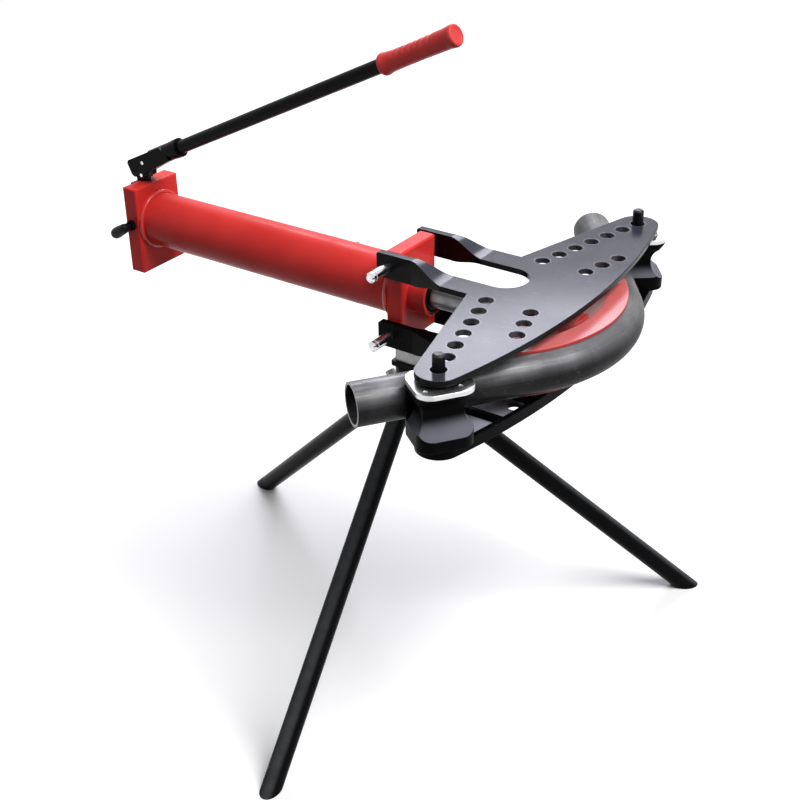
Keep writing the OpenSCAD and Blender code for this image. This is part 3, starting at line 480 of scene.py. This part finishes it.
def former_paint():
    """Red gloss over a sand casting, rubbed to metal in the groove where the pipe is pressed in."""
    made, place = begin("former red paint")
    x, y, z = place.axis("X") - bend_mid, place.axis("Y"), place.axis("Z") - ram_z
    reach = (x * x + y * y) ** 0.5
    groove = ((reach - bend_radius) * (reach - bend_radius) + z * z) ** 0.5
    cast = place.mottle(210, 4)
    rub = groove.fade(groove_lip, groove_wall) * place.mottle(70, 5).fade(0.35, 0.7)
    worn = edges(place, 0.003) * place.mottle(110, 4).fade(0.45, 0.7)
    slow = place.mottle(12, 3).fade(0.3, 0.7)
    # Faces that look up are painted paler pink: a painted sheen of light from above.
    painted_sheen = facing(place).axis("Z").fade(0.4, 0.95) * (0.55 + slow * 0.25)
    colour = slow.tint((0.55, 0.032, 0.030), (0.66, 0.055, 0.050))
    colour = worn.tint(painted_sheen.tint(colour, (0.80, 0.22, 0.22)), (0.62, 0.13, 0.12))
    colour = rub.tint(colour, (0.30, 0.27, 0.26))
    end(place, colour=colour, metallic=rub * 0.8, roughness=0.38 + cast * 0.12 + rub * 0.1, shine=0.3,
        coat_weight=0.30 - rub * 0.30, coat_roughness=0.18, normal=bump(cast, 0.0004, 0.45))
    return made


former_red = former_paint()
print("former paint with", len(former_red.node_tree.nodes), "nodes")

# %% [markdown]
# ## Milled and plated metal
# The supports' caps are milled bright, and the brass bush is cut the same way. The tripod's post and the
# screws are zinc plated, the piston and its cylinder are oiled, and the spring is dark wire. Milling leaves
# fine parallel lines, while plate and oiled steel are cloudy and pitted, so two functions with a tone each
# give all five metals.

# %% Milled and plated metal
def milled_steel(name, tone, rough):
    """Bright milled metal: fine cutter lines and a few dull fingermarks."""
    made, place = begin(name)
    lines = place.mottle(1500, 2, (1, 0.03, 0.4))
    marks = place.mottle(38, 4).fade(0.45, 0.7)
    end(place, colour=marks.tint(tone, tuple(0.72 * c for c in tone)), metallic=1.0,
        roughness=rough + lines * 0.1 + marks * 0.1, normal=bump(lines, 0.00003, 0.5))
    return made


def zinc_plate(name, tone, dull, metal):
    """Plated or oiled steel: cloudy patches and fine pits."""
    made, place = begin(name)
    cloud = place.mottle(55, 5).fade(0.32, 0.7)
    pits = place.mottle(700, 2)
    end(place, colour=cloud.tint(dull, tone), metallic=metal, roughness=0.34 + cloud * 0.1 + pits * 0.1,
        normal=bump(pits, 0.00006, 0.5))
    return made


cap_steel = milled_steel("milled cap steel", tone=(0.72, 0.72, 0.73), rough=0.24)
brass = milled_steel("turned brass", tone=(0.58, 0.42, 0.17), rough=0.22)
post_zinc = zinc_plate("zinc plate", tone=(0.50, 0.51, 0.50), dull=(0.36, 0.37, 0.36), metal=0.45)
dark_steel = zinc_plate("oiled steel", tone=(0.17, 0.17, 0.18), dull=(0.10, 0.10, 0.105), metal=0.8)
spring_wire = zinc_plate("spring wire", tone=(0.22, 0.22, 0.23), dull=(0.14, 0.14, 0.145), metal=0.8)
print("metals:", cap_steel.name, brass.name, post_zinc.name, dark_steel.name, spring_wire.name, sep=", ")

# %% [markdown]
# ## Moulded plastic
# The lever's grip and the release knob are plastic. A mould leaves an even, fine grain, so the noise is
# small and shallow, and patches of dust and paler edges show that hands have used them.

# %% Moulded plastic
def moulded(name, tone, dusty, rough, grain, depth, shine):
    """Plastic: a moulded grain, patches of dust, and edges rubbed to the same paler tone."""
    made, place = begin(name)
    skin = place.mottle(grain, 3)
    dust_and_sheen = place.mottle(40, 5).fade(0.5, 0.78)
    used = (dust_and_sheen * 0.5 + edges(place, 0.002) * 0.35).least(1.0)
    end(place, colour=used.tint(tone, dusty), roughness=rough + skin * 0.12 + dust_and_sheen * 0.08,
        normal=bump(skin, depth, 0.5), shine=shine)
    return made


grip_plastic = moulded("grip plastic", tone=(0.80, 0.060, 0.056), dusty=(0.76, 0.13, 0.12), rough=0.38,
                       grain=900, depth=0.00010, shine=0.25)
knob_plastic = moulded("knob plastic", tone=(0.003, 0.003, 0.0035), dusty=(0.010, 0.010, 0.011), rough=0.30,
                       grain=700, depth=0.00008, shine=0.10)
print("plastics:", grip_plastic.name, knob_plastic.name, sep=", ")

# %% [markdown]
# ## Black castings, legs and pins
# The supports and the lower wing are castings in black paint, and their faces that look up are painted
# blue-grey as a painted reflection of the sky. On the lower wing only the tray has it, so the painted
# reflection stops at a height. The legs and their rubber feet are painted paler along the upper side, as a
# painted sheen. The pins through the supports are blacked, and their tops are struck and worn to bare
# steel.

# %% Black castings
def cast_paint(name, top, pale):
    """Black over a casting: below a height, faces that look up carry a blue-grey painted reflection of the
    sky.
    """
    made, place = begin(name)
    lit_from_above = facing(place).axis("Z").fade(0.15, 0.65)
    cast = place.mottle(260, 4)
    slow = place.mottle(16, 4).fade(0.3, 0.7)
    worn = edges(place, 0.0025) * place.mottle(130, 4).fade(0.45, 0.7)
    # Below the height, faces that look up are painted blue-grey: a painted reflection of the sky.
    painted_sheen = lit_from_above * place.axis("Z").fade(top, top - 0.004) * (0.8 + slow * 0.2)
    colour = painted_sheen.tint((0.002, 0.002, 0.0025), (pale, pale * 1.03, pale * 1.23))
    end(place, colour=(worn * 0.3).tint(colour, (0.08, 0.08, 0.09)), shine=0.03,
        roughness=0.30 + cast * 0.12 + slow * 0.06, normal=bump(cast, 0.00025, 0.45))
    return made


above_supports, above_tray = 0.70, 0.559
support_black = cast_paint("support black", above_supports, pale=0.15)
tray_black = cast_paint("lower wing black", above_tray, pale=0.32)
print("castings:", support_black.name, tray_black.name, sep=", ")

# %% Legs, feet and blacked pins
def black_with_sheen(name, rough):
    """Black tube paint or rubber, painted paler along its upper side as a painted sheen."""
    made, place = begin(name)
    fine, patch = place.mottle(420, 2), place.mottle(60, 5).fade(0.3, 0.7)
    chip = place.mottle(150, 4).fade(0.70, 0.74)
    # Faces that look up are painted paler: a painted sheen along the upper side.
    dust_and_sheen = facing(place).axis("Z").fade(0.50, 0.74) * (0.75 + patch * 0.25)
    colour = dust_and_sheen.tint((0.0025, 0.0025, 0.003), (0.054, 0.057, 0.060))
    end(place, colour=(chip * 0.5).tint(colour, (0.05, 0.05, 0.052)), shine=0.04,
        roughness=rough + dust_and_sheen * 0.14 + fine * 0.06, normal=bump(fine, 0.00008, 0.5))
    return made


def pin_black():
    """Black pin whose top is struck and worn to bare steel."""
    made, place = begin("blacked pin")
    struck = facing(place).axis("Z").fade(0.6, 0.9) * place.mottle(240, 3).fade(0.3, 0.55)
    rings = place.mottle(1800, 2, (0.02, 0.02, 1))
    end(place, colour=struck.tint((0.004, 0.004, 0.005), (0.12, 0.12, 0.12)), metallic=struck * 0.4,
        roughness=0.3 + rings * 0.12 + struck * 0.1, normal=bump(rings, 0.00003, 0.5), shine=0.12)
    return made


leg_black = black_with_sheen("leg black", rough=0.26)
rubber = black_with_sheen("foot rubber", rough=0.42)
blacked_pin = pin_black()
print("finishes in all:", len([m for m in bpy.data.materials if m.use_nodes]))

# %% [markdown]
# ## Finishes on the solids
# Every solid has a material slot in the record, and most solids take the finish of their slot. A few are
# painted, blacked or worn in their own way, so those are listed by name, and the name goes first.

# %% Lay the finishes on the solids
by_slot = {"red_paint": red_paint, "former_red": former_red, "black_paint": black_paint,
           "wing_paint": satin_paint, "bright_steel": pin_steel, "zinc_steel": post_zinc,
           "dark_steel": dark_steel, "pipe_steel": pipe_scale, "spring_steel": spring_wire,
           "brass": brass, "rubber": rubber, "grip_red": grip_plastic, "knob_black": knob_plastic}
by_node = {"ram": ram_steel, "lower_wing": tray_black, "release_gland": black_paint}
# The plunger takes this dark steel as painted shade under the lever's bracket.
for name in ("pump_plunger", "plunger_gland", "release_spindle"):
    by_node[name] = shaded_plunger_steel
for side in ("near", "far", "rear"):
    by_node[side + "_leg"] = leg_black
for support in ("near_support", "far_support"):
    by_node[support] = support_black
    by_node[support + "_cap"] = cap_steel
    by_node[support + "_pin"] = blacked_pin
node_slot = {part["node"]: part["material_slot"] for part in frame["record"]["subparts"]}


def finish_of(node):
    """The finish of a solid, by its own name or else by its slot."""
    return by_node.get(node, by_slot[node_slot[node]])


def coat(mesh, finish):
    """The finish becomes the mesh's only material."""
    mesh.materials.clear()
    mesh.materials.append(finish)


for name, solid in frame["nodes"].items():
    coat(solid.data, finish_of(name))
print("solids finished:", len(frame["nodes"]))

# %% [markdown]
# ## Rounded edges on plates and castings
# No real plate has a razor edge: the saw cut is dressed, the casting has a radius, and paint rounds both
# again. Those small radii catch the light as thin bright lines, and a model without them looks like paper.
# Each solid is copied, its loose triangles are merged and its flat faces are joined. Then the sharp edges
# are picked, and those longer than a least length get a bevel weight, so that a Bevel modifier rounds only
# them. On three of the solids that length leaves round bores sharp, because a pin or a spindle runs close
# in them. Weighted normals keep the large faces flat.

# %% Edges to round
mm = 0.001
all_edges, past_pin_holes, straight_only = 0.0, 0.0013, 0.003
edge_radii = {"front_block": (0.0012, all_edges), "pump_block": (0.0012, straight_only),
              "upper_wing": (0.0012, all_edges), "lower_wing": (0.0009, past_pin_holes),
              "near_support": (0.0005, all_edges), "far_support": (0.0005, all_edges),
              "near_support_cap": (0.0006, all_edges), "far_support_cap": (0.0006, all_edges),
              "lever_head": (0.0006, straight_only), "tripod_post": (0.0010, all_edges),
              "tripod_head": (0.0010, all_edges), "fulcrum_bracket": (0.0006, all_edges),
              "bending_former": (0.0008, all_edges)}
same_point, same_plane, sharp, smooth = 0.00002, math.radians(0.4), math.radians(30), math.radians(38)


def only(piece):
    """Nothing but this piece is selected and active."""
    none_selected()
    piece.select_set(True)
    bpy.context.view_layer.objects.active = piece


print("solids with rounded edges:", len(edge_radii))

# %% Copy each solid and round its edges
def weigh_sharp_edges(piece, least):
    """Joins what is flat, then gives a bevel weight of 1 to the sharp edges that are longer than least."""
    only(piece)
    bpy.ops.object.mode_set(mode="EDIT")
    bpy.ops.mesh.select_all(action="SELECT")
    bpy.ops.mesh.customdata_custom_splitnormals_clear()
    bpy.ops.mesh.remove_doubles(threshold=same_point)
    bpy.ops.mesh.dissolve_limited(angle_limit=same_plane)
    bpy.ops.mesh.select_all(action="DESELECT")
    bpy.ops.mesh.select_mode(type="EDGE")
    bpy.ops.mesh.edges_select_sharp(sharpness=sharp)
    bpy.ops.object.mode_set(mode="OBJECT")
    weights = piece.data.attributes.new("bevel_weight_edge", "FLOAT", "EDGE")
    for edge in piece.data.edges:
        start, stop = (piece.data.vertices[v].co for v in edge.vertices)
        weights.data[edge.index].value = float(edge.select and (stop - start).length > least)


def rounded(node, radius, least):
    """A copy of a solid, in place of it, with its long sharp edges rounded."""
    solid = frame["nodes"][node]
    piece = bpy.data.objects.new(node + "_finished", solid.data.copy())
    bpy.context.scene.collection.objects.link(piece)
    weigh_sharp_edges(piece, least)
    bevel = piece.modifiers.new("edge radius", "BEVEL")
    bevel.limit_method = "WEIGHT"
    bevel.width, bevel.segments = radius, 3
    bevel.use_clamp_overlap = False
    bpy.ops.object.modifier_apply(modifier=bevel.name)
    bpy.ops.object.shade_smooth_by_angle(angle=smooth)
    flat = piece.modifiers.new("flat faces", "WEIGHTED_NORMAL")
    flat.keep_sharp = True
    bpy.ops.object.modifier_apply(modifier=flat.name)
    coat(piece.data, finish_of(node))
    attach(piece, solid["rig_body"])
    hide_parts(node)
    print(node, "rounded to", round(radius / mm, 1), "mm:", len(piece.data.polygons), "faces")


for node, (radius, least) in edge_radii.items():
    rounded(node, radius, least)

# %% [markdown]
# ## The lever's grip
# The grip is a red plastic sleeve with a thumb stop at its inner end, shallow finger ridges on top, and a
# dished end. A revolved profile would give the body but not the ridges, which are on one side only. So the
# sleeve is drawn out ring by ring from a circle, as by hand with extrude and scale, and the ridges are
# pressed in afterwards, on the rings and the side where fingers lie.

# %% Draw a round form out ring by ring
def drawn_out(name, sides, stations):
    """A closed form along X from rings of (x, half width, half height, lift), capped at both ends."""
    none_selected()
    x, wide, tall, lift = stations[0]
    bpy.ops.mesh.primitive_circle_add(vertices=sides, radius=1, fill_type="NGON", location=(0, 0, 0),
                                      rotation=(0, math.pi / 2, 0))
    piece = bpy.context.object
    piece.name = name
    bpy.ops.object.transform_apply(location=True, rotation=True, scale=True)
    bpy.ops.object.mode_set(mode="EDIT")
    bpy.ops.mesh.select_all(action="SELECT")
    bpy.ops.transform.resize(value=(1, wide, tall))
    bpy.ops.transform.translate(value=(x, 0, lift))
    for x1, wide1, tall1, lift1 in stations[1:]:
        bpy.ops.mesh.extrude_region_move(TRANSFORM_OT_translate={"value": (x1 - x, 0, lift1 - lift)})
        bpy.ops.transform.resize(value=(1, wide1 / wide, tall1 / tall), center_override=(x1, 0, lift1))
        x, wide, tall, lift = x1, wide1, tall1, lift1
    bpy.ops.mesh.select_all(action="SELECT")
    bpy.ops.mesh.normals_make_consistent(inside=False)
    bpy.ops.object.mode_set(mode="OBJECT")
    return piece


grip_start, lever_off = 0.565, 0.0085
# A ring is its place along the grip and its radius, both in millimetres.
hold_start, hold_step, hold_steps, hold_radius, hold_waist = 16.0, 2.75, 34, 14.9, 0.5
thumb_stop = [(0.2, 11.4), (0.4, 14.6), (1.6, 16.0), (4.5, 16.8), (7.5, 16.6), (11.0, 15.6),
              (hold_start, 15.0)]
hold = [(hold_start + hold_step * k, hold_radius - hold_waist * math.sin(math.pi * k / hold_steps))
        for k in range(2, hold_steps - 1)]
dished_end = [(112.0, 14.8), (118.0, 15.0), (124.0, 15.2), (127.5, 15.9), (131.0, 16.3), (134.5, 15.9),
              (136.2, 15.0), (136.8, 13.3), (136.6, 11.5), (135.8, 10.0), (135.4, 6.0), (135.4, 2.0)]
grip_shape = thumb_stop + hold + dished_end
grip_rings = [(grip_start + x * mm, r * mm, r * mm, lever_off) for x, r in grip_shape]
grip = drawn_out("grip", sides=40, stations=grip_rings)
print("grip rings:", len(grip_rings))

# %% Press the finger ridges in
def pick_points(piece, wanted):
    """Selects the points for which wanted(point) is true, and leaves the piece in edit mode."""
    only(piece)
    bpy.ops.object.mode_set(mode="EDIT")
    bpy.ops.mesh.select_all(action="DESELECT")
    bpy.ops.mesh.select_mode(type="VERT")
    bpy.ops.object.mode_set(mode="OBJECT")
    count = 0
    for point in piece.data.vertices:
        point.select = bool(wanted(point.co))
        count += point.select
    bpy.ops.object.mode_set(mode="EDIT")
    return count


ridge_count, ridge_first, ridge_step, ridge_depth = 7, grip_start + 0.030, 0.011, 0.0016
ridge_half, finger_height = 0.0015, 0.0065


def on_ridge(point, middle):
    """Whether a point of the grip lies at this ridge, on the side where fingers lie."""
    return abs(point.x - middle) < ridge_half and point.z - lever_off > finger_height


pressed = 0
for k in range(ridge_count):
    middle = ridge_first + ridge_step * k
    pressed += pick_points(grip, lambda point: on_ridge(point, middle))
    bpy.ops.transform.translate(value=(0, 0, -ridge_depth))
    bpy.ops.object.mode_set(mode="OBJECT")
print("ridge points pressed:", pressed)

# %% Smooth the grip and set it on the lever
def smoothed(piece, levels):
    """Subdivides the piece, keeps it, and shades it smooth."""
    only(piece)
    soft = piece.modifiers.new("smooth", "SUBSURF")
    soft.levels = soft.render_levels = levels
    bpy.ops.object.modifier_apply(modifier=soft.name)
    bpy.ops.object.shade_smooth()


fulcrum, tilt = Vector((-0.549, 0, 0.683)), math.radians(25.7)
smoothed(grip, levels=2)
grip.rotation_euler, grip.location = (0, -tilt, 0), fulcrum
bpy.ops.object.transform_apply(location=True, rotation=True, scale=True)
coat(grip.data, grip_plastic)
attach(grip, "lever")
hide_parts("lever_grip")
print("grip faces:", len(grip.data.polygons))

# %% [markdown]
# ## The release knob
# The oil release on the pump block turns with a black plastic knob like a flat teardrop. It could be
# carved from a cube, but a teardrop is also a stack of ovals, so the same drawing-out makes it along its
# own length. It is then hung at its real angle on the spindle.

# %% Release knob
low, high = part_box("release_knob")
knob_x, knob_z, droop = -0.531, ram_z + 0.002, math.radians(32)
knob_half = (high.y - low.y) / 2
# An oval is its place along the knob, its share of the half thickness, and its half height, in millimetres.
ovals = [(-8.6, 0.35, 0.9), (-8.0, 0.60, 4.0), (-6.2, 0.80, 6.4), (-3.2, 0.93, 7.8), (0.0, 0.98, 8.4),
         (4.0, 0.98, 8.7), (9.0, 0.98, 9.1), (14.0, 0.98, 9.5), (19.0, 0.98, 9.8), (24.0, 0.96, 9.8),
         (28.0, 0.88, 9.0), (31.0, 0.72, 7.0), (32.8, 0.48, 4.3), (33.4, 0.22, 1.2)]
knob_rings = [(-x * mm, share * knob_half, tall * mm, 0) for x, share, tall in ovals]
knob = drawn_out("knob", sides=28, stations=knob_rings)
smoothed(knob, levels=2)
knob.rotation_euler, knob.location = (0, -droop, 0), (knob_x, (low.y + high.y) / 2, knob_z)
bpy.ops.object.transform_apply(location=True, rotation=True, scale=True)
coat(knob.data, knob_plastic)
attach(knob, "release")
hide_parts("release_knob")
spread = [Vector(map(f, *[v.co for v in knob.data.vertices])) for f in (min, max)]
print("knob box:", [tuple(round(c, 4) for c in v) for v in spread], "solid box:", low[:], high[:])

# %% [markdown]
# ## Weld beads
# The red tube is welded to its two blocks, and the paint covers the beads. A bead is a string of small
# overlapping pools, so a plain ring would look turned. A small circle is spun round the tube, and every
# second section is swollen a little, which gives the ripples a welder leaves.

# %% Spin a weld bead round the tube
bead_ring, bead_radius, bead_inset = 0.0468, 0.0036, 0.0024
bead_sides, bead_sections, bead_merge, bead_swell = 12, 144, 0.00005, 0.00045


def even_section(point):
    """Whether a point of a bead lies on an even one of its sections."""
    share_of_turn = math.atan2(point.y, point.z - ram_z) / math.tau
    return round(share_of_turn * bead_sections) % 2 == 0


def weld_bead(name, x):
    """A rippled bead round the tube at x."""
    none_selected()
    bpy.ops.mesh.primitive_circle_add(vertices=bead_sides, radius=bead_radius,
                                      location=(x, 0, ram_z + bead_ring), rotation=(math.pi / 2, 0, 0))
    piece = bpy.context.object
    piece.name = name
    bpy.ops.object.transform_apply(location=True, rotation=True, scale=True)
    bpy.ops.object.mode_set(mode="EDIT")
    bpy.ops.mesh.select_all(action="SELECT")
    bpy.ops.mesh.spin(steps=bead_sections, angle=math.tau, center=(x, 0, ram_z), axis=(1, 0, 0))
    bpy.ops.mesh.select_all(action="SELECT")
    bpy.ops.mesh.remove_doubles(threshold=bead_merge)
    bpy.ops.mesh.normals_make_consistent(inside=False)
    swollen = pick_points(piece, even_section)
    bpy.ops.transform.shrink_fatten(value=bead_swell)
    smoothed(piece, levels=1)
    coat(piece.data, weld_red)
    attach(piece, "frame")
    print(name, "swollen points:", swollen)


tube_low, tube_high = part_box("reservoir_tube")
weld_bead("front_weld", tube_high.x - bead_inset)
weld_bead("rear_weld", tube_low.x + bead_inset)
